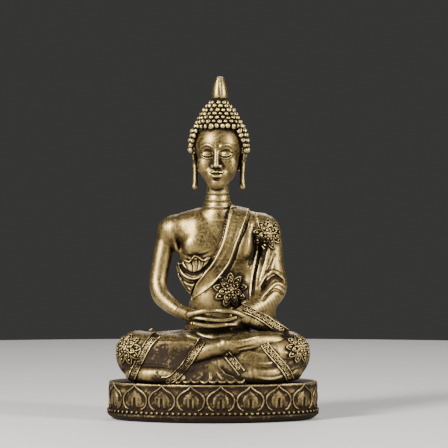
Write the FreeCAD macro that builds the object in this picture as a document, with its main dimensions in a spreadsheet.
"""Seated Buddha statuette on an oval lotus plinth, as the castings and applied ornaments it is made of.

Frame: millimetres, +Z up, the figure faces -Y, +X is the figure's own left.
The origin is the centre of the resting face, under the felt pad.
Every driving dimension is a cell of the "sizes" sheet.
"""
import FreeCAD
import Part

import math
import os

from FreeCAD import Placement, Rotation, Vector

# (alias, value in millimetres, degrees or a count, what it is)
SIZES = [
    ("plinth_half_width", 44.8, "plinth centre to the end of its ledge, along X"),
    ("plinth_half_depth", 26.0, "plinth centre to the front of its ledge, along Y"),
    ("plinth_end_radius", 18.0, "radius of the rounded ends of the ledge"),
    ("plinth_top_height", 16.0, "floor to the plinth's top face"),
    ("foot_inset", 2.4, "how far the foot draws in under the ledge"),
    ("ledge_height", 2.2, "floor to the underside of the ledge"),
    ("ledge_thickness", 1.2, "thickness of the ledge that carries the beads"),
    ("wall_inset", 1.1, "ledge edge to the plinth wall"),
    ("pad_thickness", 1.0, "felt pad under the plinth"),
    ("pad_proud", 0.3, "how far the pad stands out below the foot"),
    ("pad_rim", 2.0, "width of the foot's rim round the pad recess"),
    ("pad_clearance", 0.1, "gap between the pad's edge and its recess"),
    ("bead_count", 96, "beads round the ledge, a multiple of four"),
    ("bead_radius", 0.65, "radius of one bead"),
    ("petal_count", 18, "lotus petals round the wall"),
    ("petal_phase", 3.4, "centre of the front petal, off the plinth's centre line"),
    ("petal_width", 11.7, "width of a petal's outline"),
    ("petal_rise", 10.2, "height of a petal"),
    ("petal_lift", 1.8, "ledge to the foot of a petal, clear of the beads"),
    ("petal_rim_width", 0.95, "width of a petal's raised rim"),
    ("petal_relief", 0.6, "how far a petal's rim stands off the wall"),
    ("heart_share", 0.62, "size of the raised heart inside a petal, against the petal"),
    ("heart_relief", 0.45, "how far a heart stands off the wall"),
    ("stud_radius", 2.6, "locating studs under the legs"),
    ("stud_length", 2.5, "length of a locating stud"),
    ("stud_offset", 20.0, "centre line to a locating stud"),
    ("fit_clearance", 0.08, "gap round every spigot and stud in its socket"),
    ("bond_gap", 0.05, "glue line between two castings"),
    ("knee_half_width", 41.2, "centre line to the outside of a knee"),
    ("lap_half_depth", 21.5, "half of the legs' depth at their widest"),
    ("lap_base_half_width", 37.0, "centre line to the outside of a leg on the plinth"),
    ("lap_base_half_depth", 19.8, "half of the legs' depth on the plinth"),
    ("thigh_half_width", 32.5, "half width of the flat on top of the thighs"),
    ("thigh_half_depth", 14.5, "half depth of the flat on top of the thighs"),
    ("knee_rise", 11.5, "plinth top to the widest level of the knees"),
    ("lap_rise", 19.6, "plinth top to the top of the thighs"),
    ("lap_end_radius", 14.0, "radius of the legs' outline at the knees"),
    ("cloth_thickness", 0.9, "robe cloth over the body"),
    ("braid_thickness", 0.7, "braid and fold standing on the cloth"),
    ("braid_width", 3.5, "width of an ornamental braid"),
    ("figure_shift", 2.0, "upper body's centre line, off the plinth's"),
    ("figure_setback", 4.0, "upper body's centre line, behind the plinth's"),
    ("seat_spigot", 1.6, "depth of the torso's spigot in the lap"),
    ("seat_inset", 2.0, "torso outline to its spigot"),
    ("hip_half_width", 13.5, "torso at the seat"),
    ("hip_half_depth", 9.6, "torso at the seat"),
    ("waist_rise", 11.0, "seat to the waist"),
    ("waist_half_width", 11.4, "torso at the waist"),
    ("waist_half_depth", 8.2, "torso at the waist"),
    ("chest_rise", 33.0, "seat to the chest"),
    ("chest_half_width", 17.4, "torso at the chest"),
    ("chest_half_depth", 9.6, "torso at the chest"),
    ("shoulder_rise", 46.5, "seat to the shoulder line"),
    ("shoulder_half_width", 20.5, "torso at the shoulder line"),
    ("shoulder_half_depth", 8.0, "torso at the shoulder line"),
    ("collar_rise", 53.6, "seat to the neck's seat"),
    ("collar_half_width", 8.4, "torso at the neck"),
    ("collar_half_depth", 6.2, "torso at the neck"),
    ("torso_end_share", 0.72, "end radius of a torso section, against its half depth"),
    ("robe_slant", 24.0, "lean of the robe's edge from upright, in degrees"),
    ("robe_edge_offset", -0.5, "robe's edge to the body's centre at mid chest"),
    ("sash_width", 6.6, "folded sash along the robe's edge"),
    ("shoulder_radius", 6.2, "arm at the shoulder"),
    ("shoulder_drop", 3.6, "shoulder line down to the arm's centre"),
    ("shoulder_reach", 18.6, "body centre to an arm's centre at the shoulder"),
    ("arm_radius", 4.2, "upper arm at its middle"),
    ("elbow_radius", 4.2, "arm at the elbow"),
    ("elbow_reach", 25.2, "body centre to an elbow"),
    ("elbow_rise", 20.6, "seat to the elbow"),
    ("wrist_radius", 2.9, "arm at the wrist"),
    ("wrist_reach", 9.5, "body centre to a wrist"),
    ("wrist_rise", 7.6, "seat to the upper wrist"),
    ("wrist_forward", 17.5, "body centre to a wrist, forward"),
    ("sleeve_thickness", 1.5, "robe round the left upper arm"),
    ("palm_length", 9.5, "wrist to the knuckles"),
    ("palm_width", 8.4, "palm across the knuckles"),
    ("palm_thickness", 2.4, "thickness of a palm"),
    ("finger_radius", 0.95, "finger"),
    ("finger_length", 7.5, "knuckle to fingertip"),
    ("hand_step", 2.5, "right hand above the left"),
    ("neck_radius", 4.4, "neck at its waist"),
    ("neck_base_radius", 6.8, "neck where it meets the collar"),
    ("neck_height", 8.2, "collar to the chin's underside"),
    ("neck_spigot_radius", 3.2, "neck's spigots in the collar and the head"),
    ("neck_spigot_length", 3.0, "length of each of the neck's spigots"),
    ("head_half_width", 10.4, "head across the temples"),
    ("head_half_depth", 11.6, "head front to back"),
    ("head_half_height", 14.6, "chin to crown, halved"),
    ("head_shift", 0.4, "head's centre line, off the body's"),
    ("head_forward", 1.4, "head's centre line, ahead of the body's"),
    ("hair_thickness", 1.3, "hair cap over the skull"),
    ("hair_brow_rise", 10.8, "head's centre up to the hairline in front"),
    ("topknot_radius", 8.2, "dome on the crown"),
    ("topknot_rise", 12.4, "head's centre up to the dome's centre"),
    ("topknot_stretch", 1.1, "dome's height against its width"),
    ("curl_radius", 1.05, "one hair curl"),
    ("curl_pitch", 2.35, "distance between hair curls"),
    ("ear_length", 16.0, "ear with its long lobe"),
    ("ear_radius", 1.15, "thickness of an ear's lobe"),
    ("finial_radius", 3.3, "flame bud at its widest"),
    ("finial_neck_radius", 2.2, "flame bud at its foot"),
    ("finial_tip_radius", 1.0, "flame bud's blunt tip"),
    ("total_height", 145.0, "floor to the tip of the flame bud"),
    ("tenon_radius", 1.4, "tenon under the flame bud"),
    ("tenon_length", 3.0, "length of that tenon"),
    ("flower_radius", 5.6, "applied flower, centre to petal tip"),
    ("flower_petals", 8, "petals on a flower"),
    ("flower_thickness", 1.1, "thickness of an applied flower"),
]

doc = FreeCAD.newDocument("seated_buddha")
sheet = doc.addObject("Spreadsheet::Sheet", "sizes")
for row, (alias, amount, meaning) in enumerate(SIZES, start=1):
    sheet.set(f"A{row}", alias)
    sheet.set(f"B{row}", str(amount))
    sheet.set(f"C{row}", meaning)
    sheet.setAlias(f"B{row}", alias)
doc.recompute()

# Levels and places that several pieces share, as expressions on the sheet.
PLINTH_TOP = "sizes.plinth_top_height"
WALL_FOOT = "(sizes.ledge_height + sizes.ledge_thickness)"
LAP_TOP = "(sizes.plinth_top_height + sizes.lap_rise)"
SEAT = f"({LAP_TOP} + sizes.bond_gap)"
COLLAR = f"({SEAT} + sizes.collar_rise)"
NECK_FOOT = f"({COLLAR} + sizes.bond_gap)"
HEAD_Z = f"({NECK_FOOT} + sizes.neck_height + sizes.head_half_height - 1.4)"
BODY_X = "sizes.figure_shift"
BODY_Y = "sizes.figure_setback"
HEAD_X = "(sizes.figure_shift + sizes.head_shift)"
HEAD_Y = "(sizes.figure_setback - sizes.head_forward)"

kept = []


def number(expression):
    """The value of an expression on the sheet."""
    return float(sheet.evalExpression(str(expression)))


def point(x, y, z):
    """A vector from three expressions."""
    return Vector(number(x), number(y), number(z))


def keep(piece, label):
    """Marks a document object as a sub-part with its own label."""
    piece.Label = label
    kept.append(piece)
    return piece


def oval_numbers(half_width, half_depth, end_radius):
    """Side radius and junction angle of an oval made of four tangent arcs."""
    run = half_width - end_radius
    side = (run**2 + half_depth**2 - end_radius**2) / (2 * (half_depth - end_radius))
    return side, math.atan2(side - half_depth, run)


def plane_sketch(body, name, x, y, z):
    """A sketch parallel to the body's own XY plane, moved by three expressions."""
    sketch = body.newObject("Sketcher::SketchObject", name)
    plane = next(f for f in body.Origin.OriginFeatures if f.Role == "XY_Plane")
    sketch.AttachmentSupport = [(plane, "")]
    sketch.MapMode = "FlatFace"
    for axis, amount in zip("xyz", (x, y, z)):
        sketch.setExpression(f"AttachmentOffset.Base.{axis}", str(amount))
    return sketch


def oval_sketch(body, name, half_width, half_depth, end_radius, z, x="0", y="0"):
    """A sketched oval of four tangent arcs, longest along X."""
    import Sketcher

    sketch = plane_sketch(body, name, x, y, z)
    a, b, r = number(half_width), number(half_depth), number(end_radius)
    side, phi = oval_numbers(a, b, r)
    up = Vector(0, 0, 1)
    arcs = (
        (Vector(a - r, 0, 0), r, -phi, phi),
        (Vector(0, b - side, 0), side, phi, math.pi - phi),
        (Vector(r - a, 0, 0), r, math.pi - phi, math.pi + phi),
        (Vector(0, side - b, 0), side, math.pi + phi, 2 * math.pi - phi),
    )
    for centre, radius, start, end in arcs:
        circle = Part.Circle(centre, up, radius)
        sketch.addGeometry(Part.ArcOfCircle(circle, start, end), False)
    for first in range(4):
        sketch.addConstraint(Sketcher.Constraint("Tangent", first, 2, (first + 1) % 4, 1))
    for arc, axis in ((0, -1), (2, -1), (1, -2)):
        sketch.addConstraint(Sketcher.Constraint("PointOnObject", arc, 3, axis))
    sketch.addConstraint(Sketcher.Constraint("Equal", 0, 2))
    sketch.addConstraint(Sketcher.Constraint("Equal", 1, 3))
    side_text = (
        f"((({half_width}) - ({end_radius}))^2 + ({half_depth})^2 - ({end_radius})^2)"
        f" / (2 * (({half_depth}) - ({end_radius})))"
    )
    named = (
        ("end_radius", Sketcher.Constraint("Radius", 0, r), end_radius),
        ("end_centre", Sketcher.Constraint("DistanceX", -1, 1, 0, 3, a - r),
         f"({half_width}) - ({end_radius})"),
        ("side_radius", Sketcher.Constraint("Radius", 1, side), side_text),
    )
    for constraint_name, constraint, expression in named:
        index = sketch.addConstraint(constraint)
        sketch.renameConstraint(index, constraint_name)
        sketch.setExpression(f"Constraints.{constraint_name}", expression)
    return sketch


def circle_sketch(body, name, radius, x, y, z):
    """A sketched circle at a place given by expressions."""
    import Sketcher

    sketch = plane_sketch(body, name, x, y, z)
    circle = Part.Circle(Vector(0, 0, 0), Vector(0, 0, 1), number(radius))
    sketch.addGeometry(circle, False)
    sketch.addConstraint(Sketcher.Constraint("Coincident", 0, 3, -1, 1))
    index = sketch.addConstraint(Sketcher.Constraint("Radius", 0, number(radius)))
    sketch.renameConstraint(index, "radius")
    sketch.setExpression("Constraints.radius", radius)
    return sketch


def revolve_sketch(body, name, corners, x, y, z):
    """A closed polyline of (radius, height) expressions in the XZ plane, about Z."""
    import Sketcher

    sketch = body.newObject("Sketcher::SketchObject", name)
    plane = next(f for f in body.Origin.OriginFeatures if f.Role == "XZ_Plane")
    sketch.AttachmentSupport = [(plane, "")]
    sketch.MapMode = "FlatFace"
    # The XZ plane's own axes are X, Z and -Y.
    for axis, amount in zip("xyz", (x, z, f"-({y})")):
        sketch.setExpression(f"AttachmentOffset.Base.{axis}", str(amount))
    places = [Vector(number(r), number(h), 0) for r, h in corners]
    count = len(places)
    for index, start in enumerate(places):
        sketch.addGeometry(Part.LineSegment(start, places[(index + 1) % count]), False)
    for index in range(count):
        joint = Sketcher.Constraint("Coincident", index, 2, (index + 1) % count, 1)
        sketch.addConstraint(joint)
    for index, (radius, height) in enumerate(corners):
        for kind, letter, amount in (("DistanceX", "r", radius), ("DistanceY", "h", height)):
            rule = Sketcher.Constraint(kind, -1, 1, index, 1, number(amount))
            place = sketch.addConstraint(rule)
            sketch.renameConstraint(place, f"{letter}{index}")
            sketch.setExpression(f"Constraints.{letter}{index}", str(amount))
    return sketch


def pad(body, name, sketch, length, reverse=False):
    """Pads a sketch by an expression."""
    feature = body.newObject("PartDesign::Pad", name)
    feature.Profile = sketch
    feature.setExpression("Length", length)
    feature.Reversed = reverse
    return feature


def pocket(body, name, sketch, length, reverse=False):
    """Pockets a sketch by an expression, and checks that it cut something."""
    doc.recompute()
    before = body.Shape.Volume
    feature = body.newObject("PartDesign::Pocket", name)
    feature.Profile = sketch
    feature.setExpression("Length", length)
    feature.Reversed = reverse
    doc.recompute()
    if not body.Shape.Volume < before - 1e-6:
        raise RuntimeError(f"{name} cuts nothing")
    return feature


def loft(body, name, sections, ruled=False):
    """Lofts a row of sketches in one body."""
    feature = body.newObject("PartDesign::AdditiveLoft", name)
    feature.Profile = sections[0]
    feature.Sections = sections[1:]
    feature.Ruled = ruled
    return feature


def cut(label, base, *tools):
    """base with each tool cut away in turn."""
    for index, tool in enumerate(tools):
        piece = doc.addObject("Part::Cut", f"{label}_cut{index}")
        piece.Base = base
        piece.Tool = tool
        base = piece
    return base


def common(label, first, second):
    """What two shapes share."""
    piece = doc.addObject("Part::Common", f"{label}_common")
    piece.Base = first
    piece.Tool = second
    return piece


def shape_piece(label, shape):
    """A sub-part whose shape is worked out here from the sheet."""
    piece = doc.addObject("Part::Feature", label)
    piece.Shape = shape
    return piece


# ---------------------------------------------------------------- plinth

def base_pad():
    """Felt pad that the statuette rests on."""
    body = doc.addObject("PartDesign::Body", "base_pad_body")
    outline = oval_sketch(
        body, "pad_outline",
        f"sizes.plinth_half_width - sizes.foot_inset - sizes.pad_rim - sizes.pad_clearance",
        f"sizes.plinth_half_depth - sizes.foot_inset - sizes.pad_rim - sizes.pad_clearance",
        f"sizes.plinth_end_radius - sizes.foot_inset - sizes.pad_rim - sizes.pad_clearance",
        "0",
    )
    pad(body, "pad_sheet", outline, "sizes.pad_thickness")
    return keep(body, "base_pad")


def plinth():
    """Oval plinth: tapered foot, bead ledge, plain wall, pad recess and stud sockets."""
    body = doc.addObject("PartDesign::Body", "plinth_body")

    def outline(name, inset, z):
        return oval_sketch(
            body, name,
            f"sizes.plinth_half_width - ({inset})",
            f"sizes.plinth_half_depth - ({inset})",
            f"sizes.plinth_end_radius - ({inset})",
            z,
        )

    foot = [
        outline("foot_bottom", "sizes.foot_inset", "sizes.pad_proud"),
        outline("foot_top", "0", "sizes.ledge_height"),
    ]
    loft(body, "foot", foot, ruled=True)
    pad(body, "ledge", outline("ledge_edge", "0", "sizes.ledge_height"), "sizes.ledge_thickness")
    pad(body, "wall", outline("wall_line", "sizes.wall_inset", WALL_FOOT),
        f"sizes.plinth_top_height - {WALL_FOOT}")
    recess = outline("recess_line", "sizes.foot_inset + sizes.pad_rim", "sizes.pad_proud")
    pocket(body, "pad_recess", recess, "sizes.pad_thickness - sizes.pad_proud", reverse=True)
    for side, sign in (("right", "-"), ("left", "")):
        socket = circle_sketch(
            body, f"{side}_socket_line", "sizes.stud_radius + sizes.fit_clearance",
            f"{sign}sizes.stud_offset", "0", PLINTH_TOP,
        )
        pocket(body, f"{side}_socket", socket, "sizes.stud_length + sizes.bond_gap")
    return keep(body, "plinth")


def oval_stations(count, inset, phase):
    """Places evenly spaced round the plinth: (point, outward normal), first at the front."""
    a = number("sizes.plinth_half_width") - inset
    b = number("sizes.plinth_half_depth") - inset
    r = number("sizes.plinth_end_radius") - inset
    side, phi = oval_numbers(a, b, r)
    # Quarter by quarter, from the front's middle towards +X.
    front = side * (math.pi / 2 - phi)
    end = r * phi
    quarter = front + end
    found = []
    for index in range(count):
        along = (phase + index * 4 * quarter / count) % (4 * quarter)
        turn, rest = divmod(along, quarter)
        mirrored = int(turn) % 2 == 1
        rest = quarter - rest if mirrored else rest
        if rest <= front:
            angle = math.pi / 2 - rest / side
            place = Vector(side * math.cos(angle), side - b - side * math.sin(angle), 0)
        else:
            angle = phi - (rest - front) / r
            place = Vector(a - r + r * math.cos(angle), -r * math.sin(angle), 0)
        normal = Vector(math.cos(angle), -math.sin(angle), 0)
        flip_x = -1 if turn in (2, 3) else 1
        flip_y = -1 if turn in (1, 2) else 1
        place = Vector(place.x * flip_x, place.y * flip_y, 0)
        normal = Vector(normal.x * flip_x, normal.y * flip_y, 0)
        found.append((place, normal))
    return found


def ogee_face(width, rise, rim):
    """A pointed petal outline standing on its foot, in the XZ plane, drawn in by rim."""
    half = width / 2 - rim
    top = rise - rim * 1.5
    waist = rise * 0.42
    foot = Vector(-half * 0.72, 0, 0), Vector(half * 0.72, 0, 0)
    tip = Vector(0, 0, top)
    right = Part.BezierCurve()
    right.setPoles([foot[1], Vector(half * 1.12, 0, waist * 0.55),
                    Vector(half * 1.12, 0, waist * 1.5), Vector(half * 0.30, 0, top * 0.80), tip])
    left = Part.BezierCurve()
    left.setPoles([Vector(-p.x, p.y, p.z) for p in reversed(right.getPoles())])
    wire = Part.Wire([Part.LineSegment(*foot).toShape(), right.toShape(), left.toShape()])
    return Part.Face(wire)


def wall_band(relief):
    """A band round the plinth's wall, from the wall out to relief."""
    prisms = []
    for grow in (relief, 0.0):
        a = number("sizes.plinth_half_width - sizes.wall_inset") + grow
        b = number("sizes.plinth_half_depth - sizes.wall_inset") + grow
        r = number("sizes.plinth_end_radius - sizes.wall_inset") + grow
        side, phi = oval_numbers(a, b, r)
        up = Vector(0, 0, 1)
        edges = []
        for centre, radius, start, end in (
            (Vector(a - r, 0, 0), r, -phi, phi),
            (Vector(0, b - side, 0), side, phi, math.pi - phi),
            (Vector(r - a, 0, 0), r, math.pi - phi, math.pi + phi),
            (Vector(0, side - b, 0), side, math.pi + phi, 2 * math.pi - phi),
        ):
            edges.append(Part.ArcOfCircle(Part.Circle(centre, up, radius), start, end).toShape())
        face = Part.Face(Part.Wire(edges))
        prisms.append(face.extrude(Vector(0, 0, number(PLINTH_TOP))))
    return prisms[0].cut(prisms[1])


def petal_solids(outline, relief):
    """One raised shape per petal, standing on the plinth's wall."""
    inset = number("sizes.wall_inset")
    count = int(number("sizes.petal_count"))
    foot = number(f"{WALL_FOOT} + sizes.petal_lift")
    band = wall_band(relief)
    depth = relief + 4.0
    solids = []
    for place, normal in oval_stations(count, inset, number("sizes.petal_phase")):
        solid = outline.extrude(Vector(0, -depth, 0))
        turn = math.degrees(math.atan2(normal.y, normal.x)) + 90
        inner = place + normal * (relief + 1.0 - depth)
        solid.Placement = Placement(Vector(inner.x, inner.y, foot), Rotation(Vector(0, 0, 1), turn))
        outside = solid.common(band)
        solids.append(max(outside.Solids, key=lambda s: s.Volume))
    return Part.makeCompound(solids)


def petal_rims():
    """Raised ogee outlines of the lotus petals."""
    width, rise = number("sizes.petal_width"), number("sizes.petal_rise")
    rim = number("sizes.petal_rim_width")
    ring = ogee_face(width, rise, 0).cut(ogee_face(width, rise, rim).translated(Vector(0, 0, -0.01)))
    ring = max(ring.Faces, key=lambda face: face.Area)
    return keep(shape_piece("petal_rims", petal_solids(ring, number("sizes.petal_relief"))), "petal_rims")


def petal_hearts():
    """Raised hearts inside the petals."""
    share = number("sizes.heart_share")
    heart = ogee_face(number("sizes.petal_width") * share, number("sizes.petal_rise") * share, 0)
    return keep(shape_piece("petal_hearts", petal_solids(heart, number("sizes.heart_relief"))), "petal_hearts")


def bead_row():
    """Beads standing on the ledge, each a ball with a flat foot."""
    radius = number("sizes.bead_radius")
    inset = radius - 0.2
    level = number(WALL_FOOT)
    dip = -40.0
    beads = []
    for place, _ in oval_stations(int(number("sizes.bead_count")), inset, 0.0):
        bead = Part.makeSphere(radius, Vector(0, 0, 0), Vector(0, 0, 1), dip, 90, 360)
        foot = radius * math.sin(math.radians(dip))
        bead.Placement = Placement(Vector(place.x, place.y, level - foot), Rotation())
        beads.append(bead)
    return keep(shape_piece("bead_row", Part.makeCompound(beads)), "bead_row")


# ---------------------------------------------------------------- crossed legs

def lap_form(name, grow):
    """Both legs as one mass, or the same mass grown by a cloth or braid thickness."""
    body = doc.addObject("PartDesign::Body", name)
    levels = (
        ("base", "sizes.lap_base_half_width", "sizes.lap_base_half_depth", PLINTH_TOP),
        ("knee", "sizes.knee_half_width", "sizes.lap_half_depth",
         f"{PLINTH_TOP} + sizes.knee_rise"),
        ("thigh", "sizes.thigh_half_width", "sizes.thigh_half_depth",
         f"{LAP_TOP} + ({grow})"),
    )
    sections = []
    for level, half_width, half_depth, z in levels:
        radius = f"sizes.lap_end_radius * ({half_depth}) / sizes.lap_half_depth + ({grow})"
        sections.append(oval_sketch(
            body, f"{name}_{level}", f"{half_width} + ({grow})", f"{half_depth} + ({grow})",
            radius, z,
        ))
    loft(body, f"{name}_loft", sections)
    return body


def legs(lap):
    """The two legs: halves of the lap, each with its stud and its share of the torso's seat."""
    spigot = torso_outline_prism("seat_socket_prism", "sizes.seat_inset - sizes.fit_clearance",
                                 f"{LAP_TOP} - sizes.seat_spigot - sizes.bond_gap", "20")
    for side, sign in (("right", -1), ("left", 1)):
        half = doc.addObject("Part::Box", f"{side}_half_space")
        half.setExpression("Length", "2 * sizes.plinth_half_width")
        half.setExpression("Width", "4 * sizes.plinth_half_depth")
        half.setExpression("Height", "2 * sizes.lap_rise")
        shift = "sizes.bond_gap / 2" if sign > 0 else "-(sizes.bond_gap / 2 + 2 * sizes.plinth_half_width)"
        half.setExpression("Placement.Base.x", shift)
        half.setExpression("Placement.Base.y", "-2 * sizes.plinth_half_depth")
        half.setExpression("Placement.Base.z", PLINTH_TOP)
        leg = common(f"{side}_leg", lap, half)
        seated = cut(f"{side}_leg_seat", leg, spigot)
        stud = doc.addObject("Part::Cylinder", f"{side}_stud")
        stud.setExpression("Radius", "sizes.stud_radius")
        stud.setExpression("Height", "sizes.stud_length + 1")
        stud.setExpression("Placement.Base.x", f"{sign} * sizes.stud_offset")
        stud.setExpression("Placement.Base.z", f"{PLINTH_TOP} - sizes.stud_length")
        joined = doc.addObject("Part::MultiFuse", f"{side}_leg_joined")
        joined.Shapes = [seated, stud]
        keep(joined, f"{side}_leg")


def torso_outline_prism(name, inset, z, length):
    """An upright prism on the torso's seat outline drawn in by inset."""
    body = doc.addObject("PartDesign::Body", name)
    outline = oval_sketch(
        body, f"{name}_line",
        f"sizes.hip_half_width - ({inset})", f"sizes.hip_half_depth - ({inset})",
        f"sizes.hip_half_depth * sizes.torso_end_share - ({inset})",
        z, BODY_X, BODY_Y,
    )
    pad(body, f"{name}_pad", outline, length)
    return body


def limb(stations):
    """A rounded limb through (centre, radius) stations, from balls and tapered lengths."""
    pieces = [Part.makeSphere(radius, centre) for centre, radius in stations]
    for (start, first), (end, last) in zip(stations, stations[1:]):
        run = end - start
        if abs(first - last) < 1e-6:
            pieces.append(Part.makeCylinder(first, run.Length, start, run))
        else:
            pieces.append(Part.makeCone(first, last, run.Length, start, run))
    return pieces[0].multiFuse(pieces[1:]).removeSplitter()


def left_shin(lap):
    """Left shin and foot lying across the right leg, toes to the figure's right."""
    top, depth = number(LAP_TOP), number("sizes.lap_half_depth")
    stations = [
        (Vector(22.0, 4.6 - depth, top - 2.65), 4.2),
        (Vector(6.0, 2.2 - depth, top - 3.25), 3.6),
        (Vector(-1.5, 1.8 - depth, top - 5.25), 3.0),
        (Vector(-9.0, 2.0 - depth, top - 7.85), 2.0),
    ]
    return keep(cut("left_shin", shape_piece("left_shin_form", limb(stations)), lap), "left_shin")


def front_hem(lap):
    """Pleated hem fanned out on the plinth between the knees, scalloped at its edge."""
    thickness = number("sizes.cloth_thickness") * 1.5
    reach = number("sizes.plinth_half_depth") - number("sizes.wall_inset") - 0.8
    scallops = 7
    pitch = 4.6
    bow = 0.9
    start = Vector(-scallops * pitch / 2, -reach + 4.5, 0)
    edges = []
    places = []
    for index in range(scallops + 1):
        x = (index - scallops / 2) * pitch
        places.append(Vector(x, -reach + 0.0042 * x * x, 0))
    for first, last in zip(places, places[1:]):
        middle = (first + last) * 0.5 + Vector(0, -bow * 0.6, 0)
        edges.append(Part.Arc(first, middle, last).toShape())
    back_right = Vector(places[-1].x, -reach + 9, 0)
    back_left = Vector(places[0].x, -reach + 9, 0)
    for first, last in ((places[-1], back_right), (back_right, back_left), (back_left, places[0])):
        edges.append(Part.LineSegment(first, last).toShape())
    sheet_solid = Part.Face(Part.Wire(edges)).extrude(Vector(0, 0, thickness))
    sheet_solid.translate(Vector(0, 0, number(PLINTH_TOP)))
    return keep(cut("front_hem", shape_piece("front_hem_form", sheet_solid), lap), "front_hem")


def slab(name, start, end, width, depth, z_low, z_high):
    """A slanted slab through the figure, seen from the front from start to end in X and Z."""
    run = end - start
    length = run.Length
    box = Part.makeBox(length, depth, width, Vector(0, -depth, -width / 2))
    turn = -math.degrees(math.atan2(run.z, run.x))
    box.Placement = Placement(start, Rotation(Vector(0, 1, 0), turn))
    return shape_piece(name, box)


def leg_braids(lap, lap_grown):
    """Ornamental braids across the fronts of the legs."""
    shell = cut("lap_shell", lap_grown, lap)
    top, floor = number(LAP_TOP), number(PLINTH_TOP)
    width = number("sizes.braid_width")
    knee = number("sizes.knee_half_width")
    depth = 2 * number("sizes.plinth_half_depth")
    lean = {
        "right_leg_outer_braid": (Vector(-0.56 * knee, -2, top), Vector(-0.90 * knee, -2, floor)),
        "right_leg_inner_braid": (Vector(-0.13 * knee, -2, top - 3), Vector(-0.46 * knee, -2, floor)),
        "left_leg_inner_braid": (Vector(0.13 * knee, -2, top - 7), Vector(0.34 * knee, -2, floor)),
        "left_leg_outer_braid": (Vector(0.52 * knee, -2, top - 1), Vector(0.82 * knee, -2, floor)),
    }
    for label, (start, end) in lean.items():
        cutter = slab(f"{label}_slab", start, end, width, depth, floor, top)
        braid = common(label, shell, cutter)
        floor_block = doc.getObject("floor_block") or low_block()
        trimmed = cut(f"{label}_trim", braid, floor_block, doc.left_shin_cut0)
        keep(trimmed, label)


def low_block():
    """Everything below the plinth's top, to trim what would sink into it."""
    block = doc.addObject("Part::Box", "floor_block")
    block.setExpression("Length", "4 * sizes.plinth_half_width")
    block.setExpression("Width", "4 * sizes.plinth_half_depth")
    block.setExpression("Height", "sizes.plinth_top_height")
    block.setExpression("Placement.Base.x", "-2 * sizes.plinth_half_width")
    block.setExpression("Placement.Base.y", "-2 * sizes.plinth_half_depth")
    return block


# ---------------------------------------------------------------- torso and robe

TORSO_LEVELS = (
    ("hip", "0"),
    ("waist", "sizes.waist_rise"),
    ("chest", "sizes.chest_rise"),
    ("shoulder", "sizes.shoulder_rise"),
    ("collar", "sizes.collar_rise"),
)


def torso_form(name, grow):
    """The bare torso, or the same form grown by layers of cloth."""
    body = doc.addObject("PartDesign::Body", name)
    sections = []
    for level, rise in TORSO_LEVELS:
        half_depth = f"sizes.{level}_half_depth"
        sections.append(oval_sketch(
            body, f"{name}_{level}",
            f"sizes.{level}_half_width + ({grow})", f"{half_depth} + ({grow})",
            f"{half_depth} * sizes.torso_end_share + ({grow})",
            f"{SEAT} + {rise}", BODY_X, BODY_Y,
        ))
    loft(body, f"{name}_loft", sections)
    return body


def torso():
    """Torso with an oval spigot below and a round socket for the neck."""
    body = torso_form("torso_body", "0")
    spigot = oval_sketch(
        body, "spigot_line",
        "sizes.hip_half_width - sizes.seat_inset", "sizes.hip_half_depth - sizes.seat_inset",
        "sizes.hip_half_depth * sizes.torso_end_share - sizes.seat_inset",
        SEAT, BODY_X, BODY_Y,
    )
    pad(body, "seat_spigot", spigot, "sizes.seat_spigot", reverse=True)
    socket = circle_sketch(body, "neck_socket_line", "sizes.neck_spigot_radius + sizes.fit_clearance",
                           BODY_X, BODY_Y, COLLAR)
    pocket(body, "neck_socket", socket, "sizes.neck_spigot_length + sizes.bond_gap")
    return keep(body, "torso")


def slanted_side(name, offset, width):
    """A slab along the robe's slanted edge, seen from the front, on the figure's left of it."""
    height = 4 * number("sizes.collar_rise")
    reach = 3 * number("sizes.shoulder_half_width")
    slab_box = Part.makeBox(width, reach * 2, height, Vector(offset, -reach, -height / 2))
    middle = number(SEAT) + number("sizes.chest_rise")
    tilt = Rotation(Vector(0, 1, 0), number("sizes.robe_slant"))
    slab_box.Placement = Placement(Vector(number(BODY_X), number(BODY_Y), middle), tilt)
    return shape_piece(name, slab_box)


def underarm_fold(inner, middle):
    """Gathered edge of the under robe below the bare breast, scalloped along its top."""
    half = number("sizes.chest_half_width")
    rise = number("sizes.chest_rise - sizes.waist_rise")
    origin = point(BODY_X, BODY_Y, f"{SEAT} + sizes.chest_rise")
    layer = cut("fold_layer", middle, inner)
    tops = [Vector(-1.02 * half, 0, -0.06 * rise), Vector(-0.66 * half, 0, 0.01 * rise),
            Vector(-0.38 * half, 0, -0.03 * rise), Vector(0.35 * half, 0, 0.0)]
    edges = []
    for first, last in zip(tops, tops[1:]):
        middle_point = (first + last) * 0.5 + Vector(0, 0, 0.05 * rise)
        edges.append(Part.Arc(first, middle_point, last).toShape())
    low = [Vector(0.35 * half, 0, -0.78 * rise), Vector(-0.62 * half, 0, -0.78 * rise),
           Vector(-1.02 * half, 0, -0.40 * rise)]
    chain = [tops[-1]] + low + [tops[0]]
    for first, last in zip(chain, chain[1:]):
        edges.append(Part.LineSegment(first, last).toShape())
    prism = Part.Face(Part.Wire(edges)).extrude(Vector(0, -40, 0))
    prism.translate(origin)
    fold = common("underarm_fold", layer, shape_piece("fold_prism", prism))
    keep(cut("underarm_fold", fold, doc.robe_side), "underarm_fold")


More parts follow.
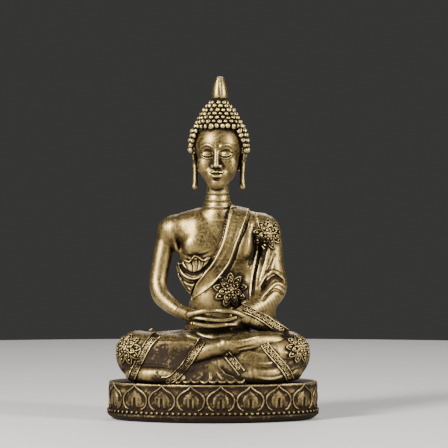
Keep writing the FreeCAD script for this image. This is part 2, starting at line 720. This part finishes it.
def robe_and_sash(inner, middle, outer):
    """Robe over the left side, its folded sash, and the gather under the right arm."""
    edge = number("sizes.robe_edge_offset")
    width = number("sizes.sash_width")
    robe_layer = cut("robe_layer", middle, inner)
    neck_hole = doc.addObject("Part::Cylinder", "neck_clear")
    neck_hole.setExpression("Radius", "sizes.neck_base_radius + sizes.bond_gap")
    neck_hole.setExpression("Height", "20")
    neck_hole.setExpression("Placement.Base.x", BODY_X)
    neck_hole.setExpression("Placement.Base.y", BODY_Y)
    neck_hole.setExpression("Placement.Base.z", f"{COLLAR} - 3")
    lap_plane = doc.addObject("Part::Box", "lap_plane_block")
    lap_plane.setExpression("Length", "4 * sizes.plinth_half_width")
    lap_plane.setExpression("Width", "4 * sizes.plinth_half_depth")
    lap_plane.setExpression("Height", f"{SEAT} + 1")
    lap_plane.setExpression("Placement.Base.x", "-2 * sizes.plinth_half_width")
    lap_plane.setExpression("Placement.Base.y", "-2 * sizes.plinth_half_depth")
    robe = common("robe", robe_layer, slanted_side("robe_side", edge, 200))
    keep(cut("robe_trim", robe, neck_hole, lap_plane), "robe")
    sash_layer = cut("sash_layer", outer, middle)
    sash = common("sash", sash_layer, slanted_side("sash_side", edge, width))
    keep(cut("sash_trim", sash, neck_hole, lap_plane), "sash")


# ---------------------------------------------------------------- arms and hands

def arm_points(sign):
    """Shoulder, mid arm, elbow and wrist of one arm, as points. sign is -1 for the right."""
    x, y = number(BODY_X), number(BODY_Y)
    shoulder = Vector(x + sign * number("sizes.shoulder_reach"), y,
                      number(f"{SEAT} + sizes.shoulder_rise - sizes.shoulder_drop"))
    elbow = Vector(x + sign * number("sizes.elbow_reach"), y - 1.5,
                   number(f"{SEAT} + sizes.elbow_rise"))
    lower = 0 if sign < 0 else number("sizes.hand_step")
    wrist = Vector(x + sign * number("sizes.wrist_reach"), y - number("sizes.wrist_forward"),
                   number(f"{SEAT} + sizes.wrist_rise") - lower)
    middle = shoulder * 0.45 + elbow * 0.55 + Vector(sign * 0.8, 0, 0)
    return shoulder, middle, elbow, wrist


def arms(right_clear, left_clear):
    """Upper arms and forearms. The left upper arm is inside its sleeve."""
    shoulder_radius, arm_radius = number("sizes.shoulder_radius"), number("sizes.arm_radius")
    elbow_radius, wrist_radius = number("sizes.elbow_radius"), number("sizes.wrist_radius")
    for side, sign in (("right", -1), ("left", 1)):
        shoulder, middle, elbow, wrist = arm_points(sign)
        sleeve = number("sizes.sleeve_thickness") if sign > 0 else 0.0
        clear_of = left_clear if sign > 0 else right_clear
        upper = limb([(shoulder, shoulder_radius + sleeve * 0.5), (middle, arm_radius + sleeve),
                      (elbow, elbow_radius + sleeve)])
        upper_form = shape_piece(f"{side}_upper_arm_form", upper)
        label = "left_sleeve" if sign > 0 else "right_upper_arm"
        upper_piece = cut(label, upper_form, *clear_of)
        keep(upper_piece, label)
        lower = limb([(elbow, elbow_radius - 0.2), (wrist, wrist_radius)])
        lower_form = shape_piece(f"{side}_forearm_form", lower)
        keep(cut(f"{side}_forearm", lower_form, upper_form, *clear_of), f"{side}_forearm")


def hand(label, sign, forearm_form):
    """A hand lying palm up: a flat palm, four fingers side by side and the thumb."""
    _, _, _, wrist = arm_points(sign)
    length, width = number("sizes.palm_length"), number("sizes.palm_width")
    thickness, finger = number("sizes.palm_thickness"), number("sizes.finger_radius")
    reach = number("sizes.finger_length")
    palm = Part.makeBox(length, width, thickness, Vector(0, -width / 2, -thickness / 2))
    palm = palm.makeFillet(thickness * 0.35, palm.Edges)
    pitch = width / 4
    parts = []
    for index in range(4):
        y = -width / 2 + pitch * (index + 0.5)
        start = Vector(length - 1.5, y, 0)
        end = Vector(length + reach - 0.7 * abs(index - 1.3), y * 0.8, 0.5)
        parts.append(limb([(start, finger), (end, finger * 0.85)]))
    thumb_start = Vector(length * 0.2, -width / 2 + 1.2, thickness * 0.4)
    thumb_end = Vector(length * 0.95, -width * 0.42, thickness + 0.9)
    parts.append(limb([(thumb_start, finger * 1.25), (thumb_end, finger)]))
    solid = palm.multiFuse(parts).removeSplitter()
    # The hand points across the lap, from its wrist towards the other side.
    turn = Rotation(Vector(0, 0, 1), 0 if sign < 0 else 180)
    mirror = solid if sign < 0 else solid.mirror(Vector(0, 0, 0), Vector(0, 1, 0))
    mirror.Placement = Placement(wrist + Vector(-sign * 0.5, 0, 0), turn).multiply(mirror.Placement)
    form = shape_piece(f"{label}_form", mirror)
    return cut(label, form, forearm_form)


def hands(lap):
    """Right hand resting on the left, both palms up in the lap."""
    right = hand("right_hand", -1, doc.right_forearm_form)
    left = hand("left_hand", 1, doc.left_forearm_form)
    right_clear = cut("right_hand_clear", right, doc.left_forearm_form, lap)
    left_clear = cut("left_hand_clear", left, doc.right_forearm_form, right_clear, lap)
    keep(right_clear, "right_hand")
    keep(left_clear, "left_hand")


def sleeve_hem(lap):
    """Braided hem of the robe, from the left forearm down to the knee."""
    shoulder, middle, elbow, wrist = arm_points(1)
    width = number("sizes.braid_width")
    start = wrist + Vector(4.5, 1.0, -0.5)
    end = Vector(0.80 * number("sizes.knee_half_width"), wrist.y + 8.0, number(LAP_TOP) + 0.4)
    run = end - start
    thickness = number("sizes.cloth_thickness") + number("sizes.braid_thickness")
    strip = Part.makeBox(run.Length, thickness, width, Vector(0, -thickness / 2, -width / 2))
    strip.Placement = Placement(start, Rotation(Vector(1, 0, 0), run))
    form = shape_piece("sleeve_hem_form", strip)
    return keep(cut("sleeve_hem", form, doc.left_forearm_form, doc.left_upper_arm_form,
                    doc.right_hand_clear_cut1, doc.left_hand_clear_cut2, lap), "sleeve_hem")


# ---------------------------------------------------------------- neck and head

def neck():
    """Neck with three creases, a spigot below and a spigot above."""
    body = doc.addObject("PartDesign::Body", "neck_body")
    base, waist, spigot = "sizes.neck_base_radius", "sizes.neck_radius", "sizes.neck_spigot_radius"
    tall = "sizes.neck_height"
    groove = "0.25"
    corners = [
        ("0", "-sizes.neck_spigot_length"),
        (spigot, "-sizes.neck_spigot_length"),
        (spigot, "0"),
        (base, "0"),
        (f"{base} * 0.55 + {waist} * 0.45", f"{tall} * 0.22"),
        (f"{base} * 0.55 + {waist} * 0.45 - {groove}", f"{tall} * 0.27"),
        (f"{base} * 0.30 + {waist} * 0.70", f"{tall} * 0.46"),
        (f"{base} * 0.30 + {waist} * 0.70 - {groove}", f"{tall} * 0.51"),
        (waist, f"{tall} * 0.76"),
        (f"{waist} - {groove}", f"{tall} * 0.81"),
        (waist, tall),
        (spigot, tall),
        (spigot, f"{tall} + sizes.neck_spigot_length"),
        ("0", f"{tall} + sizes.neck_spigot_length"),
    ]
    profile = revolve_sketch(body, "neck_profile", corners, BODY_X, BODY_Y, NECK_FOOT)
    turned = body.newObject("PartDesign::Revolution", "neck_turned")
    turned.Profile = profile
    turned.ReferenceAxis = (profile, ["V_Axis"])
    turned.Angle = 360
    return keep(body, "neck")


def ellipsoid(name, half_width, half_depth, half_height, x, y, z):
    """An ellipsoid with its own half sizes and centre, all expressions."""
    ball = doc.addObject("Part::Ellipsoid", name)
    ball.setExpression("Radius1", half_height)
    ball.setExpression("Radius2", half_width)
    ball.setExpression("Radius3", half_depth)
    ball.Angle1, ball.Angle2, ball.Angle3 = -90, 90, 360
    for axis, amount in zip("xyz", (x, y, z)):
        ball.setExpression(f"Placement.Base.{axis}", amount)
    return ball


def hairline_lean():
    """Slope of the plane through the hairline in front and the nape, in radians."""
    return math.atan2(number("sizes.hair_brow_rise"),
                      number("sizes.head_half_depth + sizes.hair_thickness"))


def head():
    """Head, hair cap, topknot, ears, curls and flame bud, one on another."""
    skull = ellipsoid("skull", "sizes.head_half_width", "sizes.head_half_depth",
                      "sizes.head_half_height", HEAD_X, HEAD_Y, HEAD_Z)
    socket = doc.addObject("Part::Cylinder", "head_socket")
    socket.setExpression("Radius", "sizes.neck_spigot_radius + sizes.fit_clearance")
    socket.setExpression("Height", "sizes.neck_spigot_length + sizes.bond_gap + 10")
    neck_clear = doc.addObject("Part::Cylinder", "neck_seat")
    neck_clear.setExpression("Radius", "sizes.neck_base_radius")
    neck_clear.setExpression("Height", "sizes.neck_height + sizes.bond_gap")
    neck_top = f"{NECK_FOOT} + sizes.neck_height"
    socket.setExpression("Placement.Base.z", f"{neck_top} - 10")
    neck_clear.setExpression("Placement.Base.z", NECK_FOOT)
    for round_tool in (socket, neck_clear):
        round_tool.setExpression("Placement.Base.x", BODY_X)
        round_tool.setExpression("Placement.Base.y", BODY_Y)
    keep(cut("head", skull, socket, neck_clear), "head")

    grown = "sizes.hair_thickness"
    hair_form = ellipsoid("hair_form", f"sizes.head_half_width + {grown}",
                          f"sizes.head_half_depth + {grown}", f"sizes.head_half_height + {grown}",
                          HEAD_X, HEAD_Y, HEAD_Z)
    face_side = Part.makeBox(60, 80, 60, Vector(-30, -40, -60))
    lean = Rotation(Vector(1, 0, 0), -math.degrees(hairline_lean()))
    face_side.Placement = Placement(point(HEAD_X, HEAD_Y, HEAD_Z), lean)
    nape = doc.addObject("Part::Box", "below_nape")
    nape.Length, nape.Width, nape.Height = 60, 60, 40
    nape.setExpression("Placement.Base.x", "-30")
    nape.setExpression("Placement.Base.y", "-30")
    nape.setExpression("Placement.Base.z", f"{HEAD_Z} - 8 - 40")
    cap = cut("hair_cap", hair_form, skull, shape_piece("face_side", face_side), nape)

    dome = ellipsoid("topknot_dome", "sizes.topknot_radius", "sizes.topknot_radius",
                     "sizes.topknot_radius * sizes.topknot_stretch",
                     HEAD_X, f"{HEAD_Y} + 0.6", f"{HEAD_Z} + sizes.topknot_rise")
    dome_top = f"{HEAD_Z} + sizes.topknot_rise + sizes.topknot_radius * sizes.topknot_stretch"
    bore = doc.addObject("Part::Cylinder", "finial_socket")
    bore.setExpression("Radius", "sizes.tenon_radius + sizes.fit_clearance")
    bore.setExpression("Height", "sizes.tenon_length + sizes.bond_gap + 10")
    bore.setExpression("Placement.Base.x", HEAD_X)
    bore.setExpression("Placement.Base.y", f"{HEAD_Y} + 0.6")
    bore.setExpression("Placement.Base.z", f"{dome_top} - 0.6 - sizes.tenon_length - sizes.bond_gap")
    seat = doc.addObject("Part::Cylinder", "finial_seat")
    seat.setExpression("Radius", "sizes.finial_radius")
    seat.setExpression("Height", "10")
    seat.setExpression("Placement.Base.x", HEAD_X)
    seat.setExpression("Placement.Base.y", f"{HEAD_Y} + 0.6")
    seat.setExpression("Placement.Base.z", f"{dome_top} - 0.6")
    knot = cut("topknot", dome, hair_form, bore, seat)
    keep(knot, "topknot")
    keep(cap, "hair_cap")
    ears(hair_form, skull)
    curls()
    finial(dome_top)


def ears(hair_form, skull):
    """Long-lobed ears at the sides of the head."""
    length, radius = number("sizes.ear_length"), number("sizes.ear_radius")
    centre = point(HEAD_X, HEAD_Y, HEAD_Z)
    half = number("sizes.head_half_width")
    for side, sign in (("right", -1), ("left", 1)):
        top = centre + Vector(sign * (half + 0.1), 1.5, 1.2)
        middle = centre + Vector(sign * (half + 0.2), 1.0, 1.2 - length * 0.5)
        low = centre + Vector(sign * (half - 0.6), 0.2, 1.2 - length)
        form = limb([(top, radius * 1.35), (middle, radius), (low, radius * 1.15)])
        keep(cut(f"{side}_ear", shape_piece(f"{side}_ear_form", form), hair_form), f"{side}_ear")


def curl_at(place, normal, radius):
    """One curl: a ball with a flat foot, standing on place along normal."""
    dip = -42.0
    ball = Part.makeSphere(radius, Vector(0, 0, 0), Vector(0, 0, 1), dip, 90, 360)
    lift = radius * math.sin(math.radians(-dip)) + 0.02
    ball.Placement = Placement(place + normal * lift, Rotation(Vector(0, 0, 1), normal))
    return ball


def curls():
    """Rows of curls on the hair cap and the topknot, clear of the face and of each other."""
    radius, pitch = number("sizes.curl_radius"), number("sizes.curl_pitch")
    grown = number("sizes.hair_thickness")
    half = (number("sizes.head_half_width") + grown, number("sizes.head_half_depth") + grown,
            number("sizes.head_half_height") + grown)
    centre = point(HEAD_X, HEAD_Y, HEAD_Z)
    knot_radius = number("sizes.topknot_radius")
    knot_half = (knot_radius, knot_radius, knot_radius * number("sizes.topknot_stretch"))
    knot_centre = centre + Vector(0, 0.6, number("sizes.topknot_rise"))
    lean = hairline_lean()

    def on_dome(middle, sizes, tilt, turn):
        unit = Vector(math.cos(tilt) * math.cos(turn), math.cos(tilt) * math.sin(turn), math.sin(tilt))
        place = middle + Vector(*(s * u for s, u in zip(sizes, unit)))
        return place, Vector(*(u / s for s, u in zip(sizes, unit))).normalize()

    def inside(place, middle, sizes, margin):
        offset = place - middle
        return sum((o / (s + margin)) ** 2 for o, s in zip(offset, sizes)) < 1

    solids = []

    def dress(middle, sizes, low, high, allowed):
        tall = sizes[2]
        rows = int((high - low) * tall / (pitch * 0.92))
        for row in range(rows + 1):
            tilt = low + (high - low) * row / max(rows, 1)
            round_here = 2 * math.pi * math.cos(tilt) * (sizes[0] + sizes[1]) / 2
            count = max(1, int(round_here / pitch))
            for step in range(count):
                turn = (step + 0.5 * (row % 2)) * 2 * math.pi / count - math.pi / 2
                place, normal = on_dome(middle, sizes, tilt, turn)
                if allowed(place):
                    solids.append(curl_at(place, normal, radius))

    def on_cap(place):
        offset = place - centre
        above = offset.z * math.cos(lean) + offset.y * math.sin(lean)
        hair = above > radius * 0.8 and offset.z > radius - 8
        return hair and not inside(place, knot_centre, knot_half, radius * 1.8)

    dome_top = knot_centre.z + knot_half[2]
    dress(centre, half, math.radians(-25), math.radians(78), on_cap)
    clear_of_seat = number("sizes.finial_radius") + radius

    def on_knot(place):
        flat = (place - knot_centre)
        beside = math.hypot(flat.x, flat.y)
        return not inside(place, centre, half, radius * 0.9) and beside > clear_of_seat

    dress(knot_centre, knot_half, math.radians(-20), math.radians(70), on_knot)
    keep(shape_piece("hair_curls", Part.makeCompound(solids)), "hair_curls")


def finial(dome_top):
    """Flame bud with its tenon in the topknot."""
    body = doc.addObject("PartDesign::Body", "finial_body")
    foot = f"({dome_top} - 0.6 + sizes.bond_gap)"
    tall = f"(sizes.total_height - {foot})"
    corners = [
        ("0", "-sizes.tenon_length"),
        ("sizes.tenon_radius", "-sizes.tenon_length"),
        ("sizes.tenon_radius", "0"),
        ("sizes.finial_neck_radius", "0"),
        ("sizes.finial_radius * 0.94", f"{tall} * 0.24"),
        ("sizes.finial_radius", f"{tall} * 0.42"),
        ("sizes.finial_radius * 0.86", f"{tall} * 0.66"),
        ("sizes.finial_radius * 0.60", f"{tall} * 0.88"),
        ("sizes.finial_tip_radius", tall),
        ("0", tall),
    ]
    profile = revolve_sketch(body, "finial_profile", corners, HEAD_X, f"{HEAD_Y} + 0.6", foot)
    turned = body.newObject("PartDesign::Revolution", "finial_turned")
    turned.Profile = profile
    turned.ReferenceAxis = (profile, ["V_Axis"])
    turned.Angle = 360
    return keep(body, "finial")


# ---------------------------------------------------------------- applied flowers

# Stock behind a flower, cut back to the surface that it sits on.
FLOWER_ROOT = 1.8


def flower(label, place, normal, clear_of):
    """An applied flower: pointed petals round a domed middle, its back to the surface."""
    radius, thickness = number("sizes.flower_radius"), number("sizes.flower_thickness")
    count = int(number("sizes.flower_petals"))
    inner, half = radius * 0.30, radius * 0.24
    right = Part.Arc(Vector(inner, 0, 0), Vector(radius * 0.62, half, 0), Vector(radius, 0, 0))
    left = Part.Arc(Vector(radius, 0, 0), Vector(radius * 0.62, -half, 0), Vector(inner, 0, 0))
    petal = Part.Face(Part.Wire([right.toShape(), left.toShape()]))
    petal.translate(Vector(0, 0, -FLOWER_ROOT))
    petal = petal.extrude(Vector(0, 0, FLOWER_ROOT + thickness * 0.7))
    solids = []
    for index in range(count):
        turned = petal.copy()
        turned.rotate(Vector(0, 0, 0), Vector(0, 0, 1), index * 360 / count)
        solids.append(turned)
    middle = Part.makeCylinder(radius * 0.42, FLOWER_ROOT + thickness, Vector(0, 0, -FLOWER_ROOT))
    shape = middle.multiFuse(solids).removeSplitter()
    shape.Placement = Placement(place, Rotation(Vector(0, 0, 1), normal))
    return keep(cut(label, shape_piece(f"{label}_form", shape), *clear_of), label)


def flowers(lap, dressed):
    """Flowers on both knees, at the waist and on the left shoulder."""
    knee, top = number("sizes.knee_half_width"), number(LAP_TOP)
    depth = number("sizes.lap_half_depth")
    for side, sign in (("right", -1), ("left", 1)):
        normal = Vector(sign * 0.72, -0.58, 0.38).normalize()
        place = Vector(sign * (knee - 5.4), -0.53 * depth, top - 6.0)
        braid = doc.getObject(f"{side}_leg_outer_braid_trim_cut1")
        flower(f"{side}_knee_flower", place, normal, [lap, braid])
    waist = point(BODY_X, BODY_Y, f"{SEAT} + sizes.waist_rise + 8.0")
    ahead = number("sizes.waist_half_depth + sizes.cloth_thickness") + 0.2
    flower("waist_flower", waist + Vector(5.0, -ahead, 0), Vector(0.22, -1, -0.05),
           [dressed, doc.sash_trim_cut1, doc.left_forearm_form])
    shoulder, _, _, _ = arm_points(1)
    reach = number("sizes.shoulder_radius") + number("sizes.sleeve_thickness") * 0.5
    normal = Vector(0.45, -0.88, 0.12).normalize()
    flower("shoulder_flower", shoulder + normal * reach, normal,
           [dressed, doc.left_upper_arm_form])


def build():
    """Makes every sub-part in the order in which they are put together."""
    plinth()
    doc.recompute()
    base_pad()
    petal_rims()
    petal_hearts()
    bead_row()
    lap = lap_form("lap", "0")
    lap_grown = lap_form("lap_grown", "sizes.braid_thickness")
    legs(lap)
    left_shin(lap)
    front_hem(lap)
    doc.recompute()
    leg_braids(lap, lap_grown)
    torso()
    bare = torso_form("torso_bare", "0")
    dressed = torso_form("torso_dressed", "sizes.cloth_thickness")
    folded = torso_form("torso_folded", "sizes.cloth_thickness + sizes.braid_thickness")
    robe_and_sash(bare, dressed, folded)
    underarm_fold(bare, dressed)
    doc.recompute()
    arms([bare, doc.robe_trim_cut1, doc.sash_trim_cut1], [dressed, doc.sash_trim_cut1])
    hands(lap)
    sleeve_hem(lap)
    neck()
    head()
    flowers(lap, dressed)
    doc.recompute()


def check():
    """Stops the build if an object failed or a sub-part isn't a sound solid."""
    for item in doc.Objects:
        if {"Invalid", "Error"} & set(item.State):
            raise RuntimeError(f"{item.Name} failed: {item.State}")
    for piece in kept:
        shape = piece.Shape
        if shape.isNull() or not shape.isValid() or not shape.Solids or shape.Volume <= 0:
            raise RuntimeError(f"{piece.Label} isn't a sound solid")


def write():
    """Writes each sub-part to parts/NODE.step."""
    os.makedirs("parts", exist_ok=True)
    for piece in kept:
        piece.Shape.exportStep(os.path.join("parts", f"{piece.Label}.step"))
        box = piece.Shape.BoundBox
        print(f"{piece.Label:24s} {piece.Shape.Volume:10.1f} mm3 {len(piece.Shape.Solids):4d} solids"
              f"  X {box.XMin:6.1f} {box.XMax:6.1f}  Y {box.YMin:6.1f} {box.YMax:6.1f}"
              f"  Z {box.ZMin:6.1f} {box.ZMax:6.1f}")


build()
check()
write()
